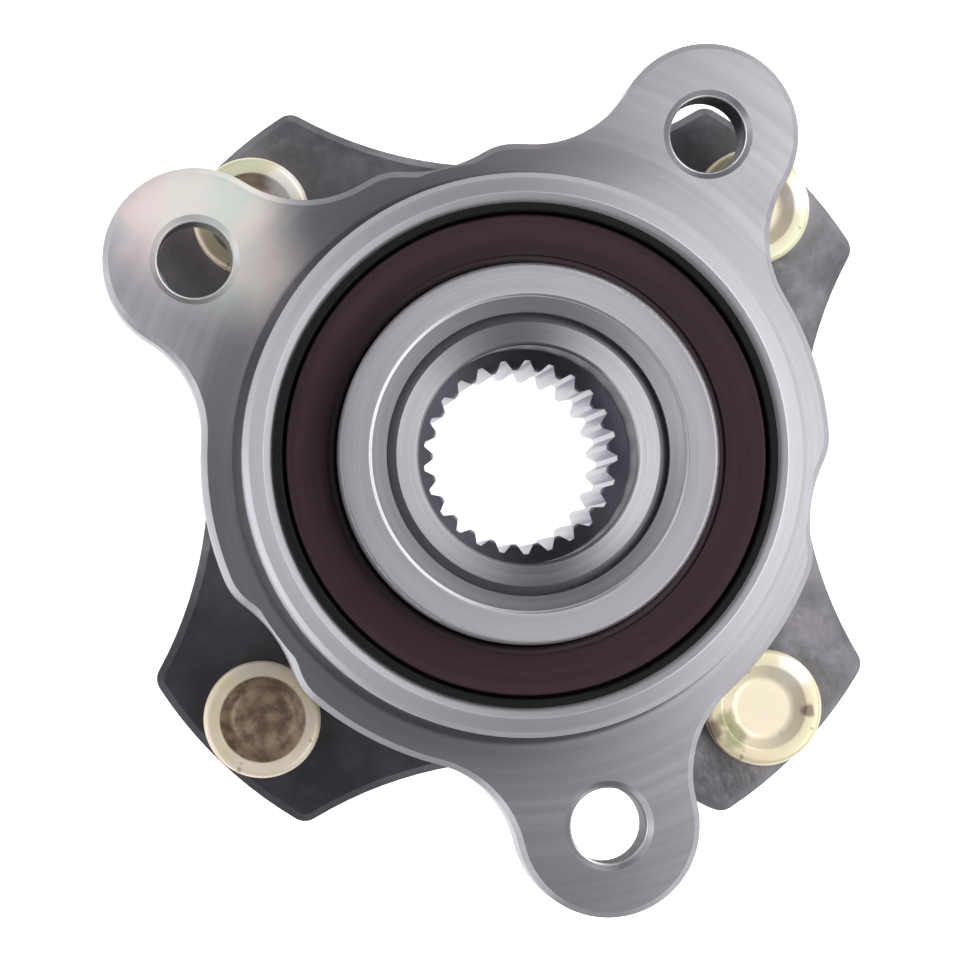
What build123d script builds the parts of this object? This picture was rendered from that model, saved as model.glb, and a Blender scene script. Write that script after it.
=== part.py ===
from build123d import *
from math import acos, cos, pi, radians, sin, tan
import os

# Driven front wheel hub with a double-row angular contact ball bearing.
# All lengths are millimetres and all angles degrees.
# Z is the axis of rotation. +Z points inboard, to the steering knuckle and drive shaft.
# The origin is on the axis, in the plane of the face that bolts against the knuckle.

# Outer ring: spigot, ear plate and barrel
SPIGOT_R = 38.0
SPIGOT_LENGTH = 16.5
SPIGOT_CHAMFER = 0.7
SPIGOT_ROOT_R = 1.5
SPIGOT_WALL = 4.0
BARREL_WALL = 5.0
BARREL_EDGE_R = 1.0
BARREL_COVE = 2.0
INBOARD_BORE_CHAMFER = 1.3
OUTBOARD_BORE_CHAMFER = 0.6
PLATE_THICKNESS = 11.5
PLATE_RIM_WIDTH = 5.4
PLATE_CHAMFER = 0.8
PAIRED_EAR_SPREAD = 89.0
EAR_HOLE_OFFSET = 14.0
EAR_END_R = 12.65
EAR_BLEND_R = 15.0
KNUCKLE_THREAD_R = 5.2
KNUCKLE_THREAD_CHAMFER = 1.0
SCALLOP_DEPTH = 2.2
SCALLOP_CUTTER_R = 19.5
SCALLOP_EDGE_R = 8.0

# Ball rows
BALL_DIA = 10.319
BALLS_PER_ROW = 14
ROW_HALF_SPACING = 6.5
CONTACT_ANGLE = 38.0
GROOVE_CONFORMITY = 0.52
RACE_CLEARANCE = 0.05
SEAL_SEAT_STEP = 0.34
OUTER_LAND_RISE = 3.3
SEAL_LAND_DROP = 2.4
SHOULDER_DROP = 3.0
NOSE_DROP = 4.5

# Spindle and inboard inner ring
INNER_RING_WALL = 5.0
INNER_RING_STANDOUT = 4.5
INNER_RING_EDGE_R = 0.6
INNER_RING_MOUTH_WIDTH = 2.0
INNER_RING_MOUTH_DEPTH = 1.6
INNER_RING_FOOT_CHAMFER = 0.8
SPINDLE_END_GAP = 0.2
SPINDLE_CHAMFER_WIDTH = 1.3
SPINDLE_CHAMFER_LENGTH = 2.0
SPINDLE_ROOT_R = 0.5
SPINDLE_WALL = 4.4

# Drive shaft bore and spline
AXLE_BORE_EDGE = 0.4
AXLE_BORE_DEPTH = 12.0
SPLINE_TEETH = 25
SPLINE_TOP_STEP = 1.35
SPLINE_DEPTH = 1.35
SPLINE_TIP_HEIGHT = 0.6
SPLINE_FLANK_ANGLE = 30.0

# Wheel studs
STUD_COUNT = 4
STUD_THREAD_R = 6.0
STUD_KNURL_HEIGHT = 0.4
STUD_NECK_DEPTH = 0.7
STUD_NECK_LENGTH = 1.2
STUD_PROTRUSION = 34.0
STUD_POINT_TAPER = 1.1
STUD_POINT_LENGTH = 2.5
STUD_HEAD_R = 8.2
STUD_HEAD_THICKNESS = 4.5
STUD_HEAD_EDGE_R = 0.9
STUD_RIM_WIDTH = 2.1
STUD_DISH_DEPTH = 1.6
STUD_DISH_TAPER = 0.8
STUD_HEAD_GAP = 2.8

# Wheel flange, pilots and nut cup
FLANGE_GAP = 2.4
FLANGE_THICKNESS = 9.0
FLANGE_EDGE = 1.95
FLANGE_WAIST_INSET = 7.9
FLANGE_WAIST_CUTTER_R = 57.0
LOBE_CORNER_R = 2.5
FLANGE_RIM_CHAMFER = 1.0
FLANGE_ROOT_R = 4.0
FLANGE_CORE_INSET = 2.1
BRAKE_PILOT_R = 30.0
BRAKE_PILOT_LENGTH = 7.0
WHEEL_PILOT_STEP = 3.0
WHEEL_PILOT_LENGTH = 7.0
PILOT_CHAMFER = 1.0
PILOT_RELIEF_WIDTH = 1.2
PILOT_RELIEF_DEPTH = 0.5
CUP_RIM_WIDTH = 5.5
CUP_TAPER = 1.5
CUP_FLOOR_FILLET = 1.5
NUT_SEAT_DEPTH = 16.5
HUB_REST_TURN = -12.7

# Ball cages
CAGE_INNER_DROP = 1.6
CAGE_OUTER_RISE = 2.1
CAGE_CLAW_REACH = 2.4
CAGE_BASE_REACH = 6.2
CAGE_SEAL_GAP = 0.4
CAGE_POCKET_CLEARANCE = 0.12
CAGE_SLOT_WIDTH = 1.2
CAGE_SLOT_DEPTH = 1.8

# Seals
SHEET_THICKNESS = 0.6
SHEET_BEND_R = 0.9
INBOARD_SEAL_DEPTH = 4.9
OUTBOARD_SEAL_DEPTH = 4.0
SEAL_FLANGE_WIDTH = 5.0
SEAL_RUBBER_SKIN = 0.3
SEAL_MOUTH_RECESS = 0.4
LIP_ROOT_INSET = 0.8
LIP_EDGE = 0.4
LIP_HEEL = 0.5
LIP_CLEARANCE = 0.05
SIDE_LIP_GAP = 0.3
SIDE_LIP_LEAN = 1.6
SIDE_LIP_TIP = 0.4
SIDE_LIP_FOOT = 1.5
SLINGER_RIM_GAP = 2.0
SLINGER_SLEEVE_LENGTH = 3.0
ENCODER_INNER_GAP = 1.4
ENCODER_THICKNESS = 0.9
ENCODER_RECESS = 0.3
ENCODER_WRAP = 0.3

# Radii that follow, from the spigot inwards to the spline
ball_r = BALL_DIA / 2
seal_bore_r = SPIGOT_R - SPIGOT_WALL
ball_pitch_r = seal_bore_r - SEAL_SEAT_STEP - ball_r
ring_land_r = ball_pitch_r + OUTER_LAND_RISE
seal_land_r = ball_pitch_r - SEAL_LAND_DROP
inner_shoulder_r = ball_pitch_r - SHOULDER_DROP
nose_r = ball_pitch_r - NOSE_DROP
spindle_seat_r = nose_r - INNER_RING_WALL
axle_bore_r = spindle_seat_r - SPINDLE_WALL
spline_major_r = axle_bore_r - SPLINE_TOP_STEP
spline_minor_r = spline_major_r - SPLINE_DEPTH
spline_pitch_r = spline_minor_r + SPLINE_TIP_HEIGHT
groove_r = GROOVE_CONFORMITY * BALL_DIA
groove_shift = groove_r - ball_r - RACE_CLEARANCE

# Radii that follow, from the spigot outwards to the flange's rim
barrel_r = seal_bore_r + BARREL_WALL
plate_core_r = barrel_r + BARREL_COVE
plate_r = SPIGOT_R + PLATE_RIM_WIDTH
scallop_floor_r = plate_r - SCALLOP_DEPTH
ear_circle_r = SPIGOT_R + EAR_HOLE_OFFSET
stud_knurl_r = STUD_THREAD_R + STUD_KNURL_HEIGHT
stud_circle_r = barrel_r + STUD_HEAD_GAP + STUD_HEAD_R
flange_r = stud_circle_r + stud_knurl_r + FLANGE_EDGE
flange_waist_r = stud_circle_r - FLANGE_WAIST_INSET
flange_core_r = flange_waist_r - FLANGE_CORE_INSET
wheel_pilot_r = BRAKE_PILOT_R - WHEEL_PILOT_STEP
cup_mouth_r = wheel_pilot_r - CUP_RIM_WIDTH
cup_floor_r = cup_mouth_r - CUP_TAPER

# Heights that follow, from the spigot's end to the wheel pilot's
inner_ring_end_z = SPIGOT_LENGTH + INNER_RING_STANDOUT
spindle_end_z = inner_ring_end_z - INNER_RING_MOUTH_DEPTH - SPINDLE_END_GAP
bore_floor_z = spindle_end_z - AXLE_BORE_DEPTH
encoder_back_z = SPIGOT_LENGTH - ENCODER_RECESS - ENCODER_THICKNESS
slinger_back_z = encoder_back_z - SHEET_THICKNESS
seal_floor_z = SPIGOT_LENGTH - INBOARD_SEAL_DEPTH
bearing_mid_z = seal_floor_z - CAGE_SEAL_GAP - CAGE_BASE_REACH - ROW_HALF_SPACING
outboard_seal_floor_z = bearing_mid_z - ROW_HALF_SPACING - CAGE_BASE_REACH - CAGE_SEAL_GAP
barrel_end_z = outboard_seal_floor_z - OUTBOARD_SEAL_DEPTH
plate_back_z = -PLATE_THICKNESS
flange_inboard_z = barrel_end_z - FLANGE_GAP
wheel_face_z = flange_inboard_z - FLANGE_THICKNESS
brake_pilot_end_z = wheel_face_z - BRAKE_PILOT_LENGTH
wheel_pilot_end_z = brake_pilot_end_z - WHEEL_PILOT_LENGTH
nut_seat_z = wheel_pilot_end_z + NUT_SEAT_DEPTH

# Cage and seal sections that follow
cage_inner_r = ball_pitch_r - CAGE_INNER_DROP
cage_outer_r = ball_pitch_r + CAGE_OUTER_RISE
seal_flange_inner_r = seal_bore_r - SEAL_FLANGE_WIDTH
lip_root_r = seal_flange_inner_r - LIP_ROOT_INSET
case_inner_r = seal_bore_r - SHEET_THICKNESS
slinger_flange_r = seal_bore_r - SLINGER_RIM_GAP
slinger_sleeve_r = inner_shoulder_r + SHEET_THICKNESS
bend_inner_r = SHEET_BEND_R - SHEET_THICKNESS

ear_angles = (90 - PAIRED_EAR_SPREAD / 2, 90 + PAIRED_EAR_SPREAD / 2, 270.0)


def turned(*corners):
    """Solid of revolution about Z. A corner is (radius, z) or (radius, z, corner rounding)."""
    points = [corner[:2] for corner in corners]
    roundings = [corner[2] if len(corner) == 3 else 0 for corner in corners]
    outline = FilletPolyline(*points, radius=roundings, close=True)
    return revolve(Plane.XZ * make_face(outline), Axis.Z)


def around(angle, radius=0.0, z=0.0):
    """Place at a radius and height, on the ray at this angle from +X."""
    return Rot(0, 0, angle) * Pos(radius, 0, z)


def row_z(side):
    """Height of a ball row's centre: side +1 is inboard and -1 outboard."""
    return bearing_mid_z + side * ROW_HALF_SPACING


def inner_groove_centre(side):
    """Section centre (radius, z) of the inner raceway, which carries on its outer flank."""
    angle = radians(CONTACT_ANGLE)
    radius = ball_pitch_r + groove_shift * cos(angle)
    return radius, row_z(side) - side * groove_shift * sin(angle)


def outer_groove_centre(side):
    """Section centre (radius, z) of the outer raceway, which carries on its flank next to the land."""
    angle = radians(CONTACT_ANGLE)
    radius = ball_pitch_r - groove_shift * cos(angle)
    return radius, row_z(side) + side * groove_shift * sin(angle)


def groove_tool(centre):
    """Torus that cuts a raceway whose section centre is given."""
    radius, z = centre
    return Pos(0, 0, z) * Torus(radius, groove_r)


def ear_gap_angles():
    """Angles halfway between neighbouring ears."""
    following = ear_angles[1:] + (ear_angles[0] + 360,)
    return [(first + second) / 2 for first, second in zip(ear_angles, following)]


def ear_outline():
    """One ear on the +X ray: a round end joined to the plate by two tangent concave blends."""
    to_blend = plate_r + EAR_BLEND_R
    ear_to_blend = EAR_END_R + EAR_BLEND_R
    swing = acos((ear_circle_r**2 + to_blend**2 - ear_to_blend**2) / (2 * ear_circle_r * to_blend))
    blend_x = to_blend * cos(swing)
    blend_y = to_blend * sin(swing)
    web = make_face(Polyline((0, 0), (blend_x, blend_y), (ear_circle_r, 0), (blend_x, -blend_y), close=True))
    for y in (blend_y, -blend_y):
        web -= Pos(blend_x, y) * Circle(EAR_BLEND_R)
    return web + Pos(ear_circle_r, 0) * Circle(EAR_END_R)


def ear_plate():
    """Mounting plate with three ears and a scallop in each gap between them."""
    gaps = ear_gap_angles()
    outline = Rot(0, 0, gaps[0]) * Circle(plate_r)
    for angle in gaps:
        outline -= around(angle, scallop_floor_r + SCALLOP_CUTTER_R) * Circle(SCALLOP_CUTTER_R)
    outline = fillet(outline.vertices(), SCALLOP_EDGE_R)
    for angle in ear_angles:
        outline += Rot(0, 0, angle) * ear_outline()
    plate = extrude(outline, -PLATE_THICKNESS)
    rims = plate.faces().filter_by(Axis.Z).edges()
    plate = chamfer(rims, PLATE_CHAMFER)
    return plate - Pos(0, 0, -PLATE_THICKNESS / 2) * Cylinder(barrel_r, PLATE_THICKNESS)


def knuckle_bolt_hole():
    """Through hole at its thread's minor diameter, countersunk at both mouths."""
    mouth_r = KNUCKLE_THREAD_R + KNUCKLE_THREAD_CHAMFER
    return turned(
        (0, 0),
        (mouth_r, 0),
        (KNUCKLE_THREAD_R, -KNUCKLE_THREAD_CHAMFER),
        (KNUCKLE_THREAD_R, plate_back_z + KNUCKLE_THREAD_CHAMFER),
        (mouth_r, plate_back_z),
        (0, plate_back_z),
    )


def outer_ring():
    inboard_r, inboard_z = outer_groove_centre(+1)
    outboard_z = outer_groove_centre(-1)[1]
    groove_floor_r = inboard_r + groove_r
    ring = turned(
        (ring_land_r, outboard_z),
        (ring_land_r, inboard_z),
        (groove_floor_r, inboard_z),
        (groove_floor_r, seal_floor_z),
        (seal_bore_r, seal_floor_z),
        (seal_bore_r, SPIGOT_LENGTH - INBOARD_BORE_CHAMFER),
        (seal_bore_r + INBOARD_BORE_CHAMFER, SPIGOT_LENGTH),
        (SPIGOT_R - SPIGOT_CHAMFER, SPIGOT_LENGTH),
        (SPIGOT_R, SPIGOT_LENGTH - SPIGOT_CHAMFER),
        (SPIGOT_R, 0, SPIGOT_ROOT_R),
        (plate_core_r, 0),
        (plate_core_r, plate_back_z),
        (barrel_r, plate_back_z - BARREL_COVE),
        (barrel_r, barrel_end_z, BARREL_EDGE_R),
        (seal_bore_r + OUTBOARD_BORE_CHAMFER, barrel_end_z),
        (seal_bore_r, barrel_end_z + OUTBOARD_BORE_CHAMFER),
        (seal_bore_r, outboard_seal_floor_z),
        (groove_floor_r, outboard_seal_floor_z),
        (groove_floor_r, outboard_z),
    )
    for side in (+1, -1):
        ring -= groove_tool(outer_groove_centre(side))
    ring += ear_plate()
    for angle in ear_angles:
        ring -= around(angle, ear_circle_r) * knuckle_bolt_hole()
    return ring


def inner_ring():
    groove_z = inner_groove_centre(+1)[1]
    foot_z = bearing_mid_z
    ring = turned(
        (spindle_seat_r, foot_z + INNER_RING_FOOT_CHAMFER),
        (spindle_seat_r + INNER_RING_FOOT_CHAMFER, foot_z),
        (nose_r, foot_z, INNER_RING_EDGE_R),
        (nose_r, groove_z),
        (inner_shoulder_r, groove_z),
        (inner_shoulder_r, inner_ring_end_z, INNER_RING_EDGE_R),
        (spindle_seat_r + INNER_RING_MOUTH_WIDTH, inner_ring_end_z),
        (spindle_seat_r, inner_ring_end_z - INNER_RING_MOUTH_DEPTH),
    )
    return ring - groove_tool(inner_groove_centre(+1))


def spline_spaces():
    """The spaces between the internal spline's teeth, from the nut seat to the shaft bore's floor."""
    slope = tan(radians(SPLINE_FLANK_ANGLE))
    inner_r = spline_minor_r - SPLINE_TIP_HEIGHT
    pitch_half = pi * spline_pitch_r / (2 * SPLINE_TEETH)
    inner_half = pitch_half + (spline_pitch_r - inner_r) * slope
    outer_half = pitch_half - (spline_major_r - spline_pitch_r) * slope
    space = make_face(
        Polyline(
            (inner_r, -inner_half),
            (spline_major_r, -outer_half),
            (spline_major_r, outer_half),
            (inner_r, inner_half),
            close=True,
        )
    )
    one = Pos(0, 0, nut_seat_z) * extrude(space, bore_floor_z - nut_seat_z)
    return [Rot(0, 0, 360 * tooth / SPLINE_TEETH) * one for tooth in range(SPLINE_TEETH)]


def stud_angles():
    """Angles of the wheel studs at rest."""
    step = 360 / STUD_COUNT
    return [HUB_REST_TURN + step * (index + 0.5) for index in range(STUD_COUNT)]


def wheel_flange():
    """Lobed flange: a disc with a concave waist between each pair of studs."""
    outline = Circle(flange_r)
    step = 360 / STUD_COUNT
    for index in range(STUD_COUNT):
        outline -= around(step * index, flange_waist_r + FLANGE_WAIST_CUTTER_R) * Circle(FLANGE_WAIST_CUTTER_R)
    outline = fillet(outline.vertices(), LOBE_CORNER_R)
    flange = Pos(0, 0, wheel_face_z) * extrude(outline, FLANGE_THICKNESS)
    flange = chamfer(flange.faces().filter_by(Axis.Z).edges(), FLANGE_RIM_CHAMFER)
    return Rot(0, 0, HUB_REST_TURN) * flange


def hub():
    groove_z = inner_groove_centre(-1)[1]
    relief_z = wheel_face_z + PILOT_RELIEF_DEPTH
    body = turned(
        (spline_minor_r, nut_seat_z),
        (spline_minor_r, bore_floor_z - (axle_bore_r - spline_minor_r)),
        (axle_bore_r, bore_floor_z),
        (axle_bore_r, spindle_end_z - AXLE_BORE_EDGE),
        (axle_bore_r + AXLE_BORE_EDGE, spindle_end_z),
        (spindle_seat_r - SPINDLE_CHAMFER_WIDTH, spindle_end_z),
        (spindle_seat_r, spindle_end_z - SPINDLE_CHAMFER_LENGTH),
        (spindle_seat_r, bearing_mid_z, SPINDLE_ROOT_R),
        (nose_r, bearing_mid_z),
        (nose_r, groove_z),
        (seal_land_r, groove_z),
        (seal_land_r, flange_inboard_z, FLANGE_ROOT_R),
        (flange_core_r, flange_inboard_z),
        (flange_core_r, wheel_face_z),
        (BRAKE_PILOT_R + PILOT_RELIEF_WIDTH, wheel_face_z),
        (BRAKE_PILOT_R + PILOT_RELIEF_WIDTH, relief_z),
        (BRAKE_PILOT_R, relief_z),
        (BRAKE_PILOT_R, brake_pilot_end_z + PILOT_CHAMFER),
        (BRAKE_PILOT_R - PILOT_CHAMFER, brake_pilot_end_z),
        (wheel_pilot_r, brake_pilot_end_z),
        (wheel_pilot_r, wheel_pilot_end_z + PILOT_CHAMFER),
        (wheel_pilot_r - PILOT_CHAMFER, wheel_pilot_end_z),
        (cup_mouth_r, wheel_pilot_end_z),
        (cup_floor_r, nut_seat_z, CUP_FLOOR_FILLET),
    )
    body -= groove_tool(inner_groove_centre(-1))
    core = Pos(0, 0, wheel_face_z + FLANGE_THICKNESS / 2) * Cylinder(flange_core_r, FLANGE_THICKNESS)
    body += wheel_flange() - core
    body -= spline_spaces()
    stud_hole = Cylinder(stud_knurl_r, FLANGE_THICKNESS)
    for angle in stud_angles():
        body -= around(angle, stud_circle_r, wheel_face_z + FLANGE_THICKNESS / 2) * stud_hole
    return body


def wheel_stud():
    """Press-in stud on its own axis: dished round head, knurled shank, neck, thread and pilot point."""
    head_top_z = flange_inboard_z + STUD_HEAD_THICKNESS
    dish_r = STUD_HEAD_R - STUD_RIM_WIDTH
    dish_z = head_top_z - STUD_DISH_DEPTH
    neck_r = STUD_THREAD_R - STUD_NECK_DEPTH
    neck_z = wheel_face_z + STUD_NECK_LENGTH
    point_r = STUD_THREAD_R - STUD_POINT_TAPER
    tip_z = wheel_face_z - STUD_PROTRUSION
    point_z = tip_z + STUD_POINT_LENGTH
    return turned(
        (0, dish_z),
        (dish_r - STUD_DISH_TAPER, dish_z),
        (dish_r, head_top_z),
        (STUD_HEAD_R, head_top_z, STUD_HEAD_EDGE_R),
        (STUD_HEAD_R, flange_inboard_z),
        (stud_knurl_r, flange_inboard_z),
        (stud_knurl_r, neck_z),
        (neck_r, neck_z),
        (neck_r, wheel_face_z),
        (STUD_THREAD_R, wheel_face_z),
        (STUD_THREAD_R, point_z + STUD_POINT_TAPER),
        (point_r, point_z),
        (point_r, tip_z),
        (0, tip_z),
    )


def ball_places(side):
    """Placements of the ball centres of one row."""
    step = 360 / BALLS_PER_ROW
    return [around(step * index, ball_pitch_r, row_z(side)) for index in range(BALLS_PER_ROW)]


def cage(side):
    """Snap-in ball cage: a base ring next to the seal and a pair of claws round each ball."""
    centre_z = row_z(side)
    claw_z = centre_z - side * CAGE_CLAW_REACH
    base_z = centre_z + side * CAGE_BASE_REACH
    band = turned((cage_inner_r, claw_z), (cage_outer_r, claw_z), (cage_outer_r, base_z), (cage_inner_r, base_z))
    pocket = Sphere(ball_r + CAGE_POCKET_CLEARANCE)
    for place in ball_places(side):
        band -= place * pocket
    slot = Box(2 * (cage_outer_r - cage_inner_r), CAGE_SLOT_WIDTH, 2 * CAGE_SLOT_DEPTH)
    step = 360 / BALLS_PER_ROW
    for index in range(BALLS_PER_ROW):
        band -= around(step * (index + 0.5), (cage_inner_r + cage_outer_r) / 2, claw_z) * slot
    return band


def inboard_seal_slinger():
    """Pressed steel angle on the inner ring's shoulder, which carries the encoder."""
    foot_z = encoder_back_z - SLINGER_SLEEVE_LENGTH
    return turned(
        (inner_shoulder_r, foot_z),
        (inner_shoulder_r, encoder_back_z, SHEET_BEND_R),
        (slinger_flange_r, encoder_back_z),
        (slinger_flange_r, slinger_back_z),
        (slinger_sleeve_r, slinger_back_z, bend_inner_r),
        (slinger_sleeve_r, foot_z),
    )


def encoder_ring():
    """Magnetic rubber ring bonded to the slinger's face and wrapped over its rim."""
    inner_r = inner_shoulder_r + ENCODER_INNER_GAP
    rim_r = slinger_flange_r + ENCODER_WRAP
    face_z = encoder_back_z + ENCODER_THICKNESS
    return turned(
        (inner_r, encoder_back_z),
        (inner_r, face_z),
        (rim_r, face_z, ENCODER_WRAP),
        (rim_r, slinger_back_z),
        (slinger_flange_r, slinger_back_z),
        (slinger_flange_r, encoder_back_z),
    )


def inboard_seal_case():
    """Pressed steel angle in the outer ring's bore."""
    inner_floor_z = seal_floor_z + SHEET_THICKNESS
    mouth_z = SPIGOT_LENGTH - SEAL_MOUTH_RECESS - SEAL_RUBBER_SKIN
    return turned(
        (seal_flange_inner_r, seal_floor_z),
        (seal_bore_r, seal_floor_z, SHEET_BEND_R),
        (seal_bore_r, mouth_z),
        (case_inner_r, mouth_z),
        (case_inner_r, inner_floor_z, bend_inner_r),
        (seal_flange_inner_r, inner_floor_z),
    )


def inboard_seal_lip():
    """Rubber bonded inside the case: a radial lip on the slinger's sleeve and a side lip at its flange."""
    core_z = seal_floor_z + SHEET_THICKNESS
    skin_z = core_z + SEAL_RUBBER_SKIN
    skin_r = case_inner_r - SEAL_RUBBER_SKIN
    bead_r = skin_r - SEAL_RUBBER_SKIN
    tip_r = slinger_sleeve_r + LIP_CLEARANCE
    tip_z = seal_floor_z + LIP_HEEL
    side_tip_r = lip_root_r + SIDE_LIP_LEAN
    side_tip_z = slinger_back_z - SIDE_LIP_GAP
    mouth_z = SPIGOT_LENGTH - SEAL_MOUTH_RECESS
    bead_z = mouth_z - 3 * SEAL_RUBBER_SKIN
    return turned(
        (seal_flange_inner_r, seal_floor_z),
        (lip_root_r, seal_floor_z),
        (tip_r + LIP_EDGE, tip_z - LIP_EDGE),
        (tip_r, tip_z),
        (tip_r + LIP_EDGE, tip_z + LIP_EDGE),
        (lip_root_r, skin_z),
        (side_tip_r, side_tip_z),
        (side_tip_r + SIDE_LIP_TIP, side_tip_z),
        (lip_root_r + SIDE_LIP_FOOT, skin_z),
        (skin_r, skin_z, SEAL_RUBBER_SKIN),
        (skin_r, bead_z - SEAL_RUBBER_SKIN),
        (bead_r, bead_z),
        (bead_r, mouth_z, SEAL_RUBBER_SKIN),
        (seal_bore_r, mouth_z),
        (seal_bore_r, mouth_z - SEAL_RUBBER_SKIN),
        (case_inner_r, mouth_z - SEAL_RUBBER_SKIN),
        (case_inner_r, core_z, bend_inner_r),
        (seal_flange_inner_r, core_z),
    )


def outboard_seal_core():
    """Pressed steel angle in the outer ring's outboard bore."""
    inner_floor_z = outboard_seal_floor_z - SHEET_THICKNESS
    mouth_z = barrel_end_z + SEAL_MOUTH_RECESS
    return turned(
        (seal_flange_inner_r, outboard_seal_floor_z),
        (seal_bore_r, outboard_seal_floor_z, SHEET_BEND_R),
        (seal_bore_r, mouth_z),
        (case_inner_r, mouth_z),
        (case_inner_r, inner_floor_z, bend_inner_r),
        (seal_flange_inner_r, inner_floor_z),
    )


def outboard_seal_lip():
    """Rubber bonded to the core: a radial lip on the hub's land and a side lip at the wheel flange."""
    core_z = outboard_seal_floor_z - SHEET_THICKNESS
    skin_z = core_z - SEAL_RUBBER_SKIN
    edge_skin = 2 * SEAL_RUBBER_SKIN
    tip_r = seal_land_r + LIP_CLEARANCE
    tip_z = outboard_seal_floor_z - LIP_HEEL
    side_tip_r = lip_root_r + SIDE_LIP_LEAN
    side_tip_z = flange_inboard_z + SIDE_LIP_GAP
    return turned(
        (seal_flange_inner_r, outboard_seal_floor_z),
        (lip_root_r, outboard_seal_floor_z),
        (tip_r + LIP_EDGE, tip_z + LIP_EDGE),
        (tip_r, tip_z),
        (tip_r + LIP_EDGE, tip_z - LIP_EDGE),
        (lip_root_r, skin_z),
        (side_tip_r, side_tip_z),
        (side_tip_r + SIDE_LIP_TIP, side_tip_z),
        (lip_root_r + SIDE_LIP_FOOT, skin_z),
        (case_inner_r - edge_skin, skin_z),
        (case_inner_r, skin_z - edge_skin),
        (case_inner_r, core_z, bend_inner_r),
        (seal_flange_inner_r, core_z),
    )


def build_nodes():
    """All sub-parts by node name, each in its place at rest."""
    nodes = {
        "outer_ring": outer_ring(),
        "hub": hub(),
        "inner_ring": inner_ring(),
        "inboard_seal_case": inboard_seal_case(),
        "inboard_seal_lip": inboard_seal_lip(),
        "inboard_seal_slinger": inboard_seal_slinger(),
        "encoder_ring": encoder_ring(),
        "outboard_seal_core": outboard_seal_core(),
        "outboard_seal_lip": outboard_seal_lip(),
    }
    for number, angle in enumerate(stud_angles(), start=1):
        nodes[f"wheel_stud_{number}"] = around(angle, stud_circle_r) * wheel_stud()
    for name, side in (("inboard", +1), ("outboard", -1)):
        nodes[f"{name}_cage"] = cage(side)
        for number, place in enumerate(ball_places(side), start=1):
            nodes[f"{name}_ball_{number:02d}"] = place * Sphere(ball_r)
    return nodes


os.makedirs("parts", exist_ok=True)
for node_name, solid in build_nodes().items():
    export_step(solid, f"parts/{node_name}.step")
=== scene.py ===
"""Looks of a driven wheel hub with its double-row ball bearing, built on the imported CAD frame.

Lengths are metres. Z is the bearing axis with +Z inboard, towards the camera. The part stands on its stud
tips.
"""

import math

import bpy
from mathutils import Matrix, Vector


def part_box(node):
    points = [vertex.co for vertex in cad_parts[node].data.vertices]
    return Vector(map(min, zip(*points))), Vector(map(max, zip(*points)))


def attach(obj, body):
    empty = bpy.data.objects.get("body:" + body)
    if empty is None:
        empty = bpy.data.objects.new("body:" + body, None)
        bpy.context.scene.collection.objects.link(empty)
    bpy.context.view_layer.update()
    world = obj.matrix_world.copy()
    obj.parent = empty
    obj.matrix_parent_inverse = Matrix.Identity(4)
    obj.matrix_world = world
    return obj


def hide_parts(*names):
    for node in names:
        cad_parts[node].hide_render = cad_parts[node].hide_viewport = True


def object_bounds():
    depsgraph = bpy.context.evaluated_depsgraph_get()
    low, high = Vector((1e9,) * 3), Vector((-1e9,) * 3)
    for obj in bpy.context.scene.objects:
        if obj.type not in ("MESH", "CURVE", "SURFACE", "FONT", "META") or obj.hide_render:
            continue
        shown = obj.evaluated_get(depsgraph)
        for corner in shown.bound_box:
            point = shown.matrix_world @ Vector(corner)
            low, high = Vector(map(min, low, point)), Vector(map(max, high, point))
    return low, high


MM = 0.001

# Camera: nearly face on, a little from the left and below
IMAGE_SIZE = 960
IMAGE_TURN = math.radians(14.0)  # the picture shows the part's frame turned by this much about Z
CAMERA_DISTANCE = 0.700
CAMERA_FOCAL_PIXELS = 5095.0
CAMERA_SLOPE_LEFT = 0.069
CAMERA_SLOPE_DOWN = 0.0264
AXIS_PIXEL = (517.6, 458.4)  # where the origin shows in the picture
SENSOR_WIDTH = 36.0
NEAREST_SEEN = 10.0 * MM

# Softboxes: name, azimuth and elevation in degrees, distance, width and height in metres, power in watts
SOFTBOXES = (
    ("key_right", 8.0, 56.0, 0.60, 0.95, 0.36, 4.6),
    ("fill_left", 148.0, 50.0, 0.9, 0.35, 0.35, 0.9),
    ("low_left", 203.0, 22.0, 0.8, 0.7, 0.2, 1.6),
)
WORLD_ABOVE, WORLD_LEFT, WORLD_RIGHT = 0.15, 0.85, 0.55  # strengths of the surroundings
WORLD_TINT = (0.94, 0.95, 1.0, 1)
WORLD_FALLOFF = 1.6
FLOOR_HALF_WIDTH = 1.5
FLOOR_GLOW = 0.85

# Sizes of the part, as in the CAD model
EAR_CIRCLE_R = 52.0 * MM
EAR_ANGLES = tuple(math.radians(a) for a in (45.5, 134.5, 270.0))
EAR_THREAD_R = 5.2 * MM
FLANGE_FACE_Z = -21.0 * MM
FLANGE_THICKNESS = 9.0 * MM
STUD_HEAD_R = 8.2 * MM
STUD_HEAD_EDGE_R = 0.9 * MM
STUD_DISH_R = 6.1 * MM
STUD_DISH_DEPTH = 1.6 * MM
STUD_KNURL_R = 6.4 * MM
STUD_NECK_R = 5.3 * MM
STUD_NECK_LENGTH = 1.2 * MM
STUD_THREAD_R = 6.0 * MM
STUD_POINT_R = 4.9 * MM
STUD_POINT_LENGTH = 2.5 * MM

# Forms that only the looks have: threads, and the rounding of the studs' dishes and tips
EAR_THREAD_PITCH = 1.5 * MM
STUD_THREAD_PITCH = 1.25 * MM
STUD_THREAD_ROOT_R = 5.25 * MM
STUD_DISH_FLOOR_R = 3.7 * MM
DISH_FLOOR_FILLET = 1.5 * MM
DISH_RIM_FILLET = 0.4 * MM
STUD_TIP_CHAMFER = 0.4 * MM

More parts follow.
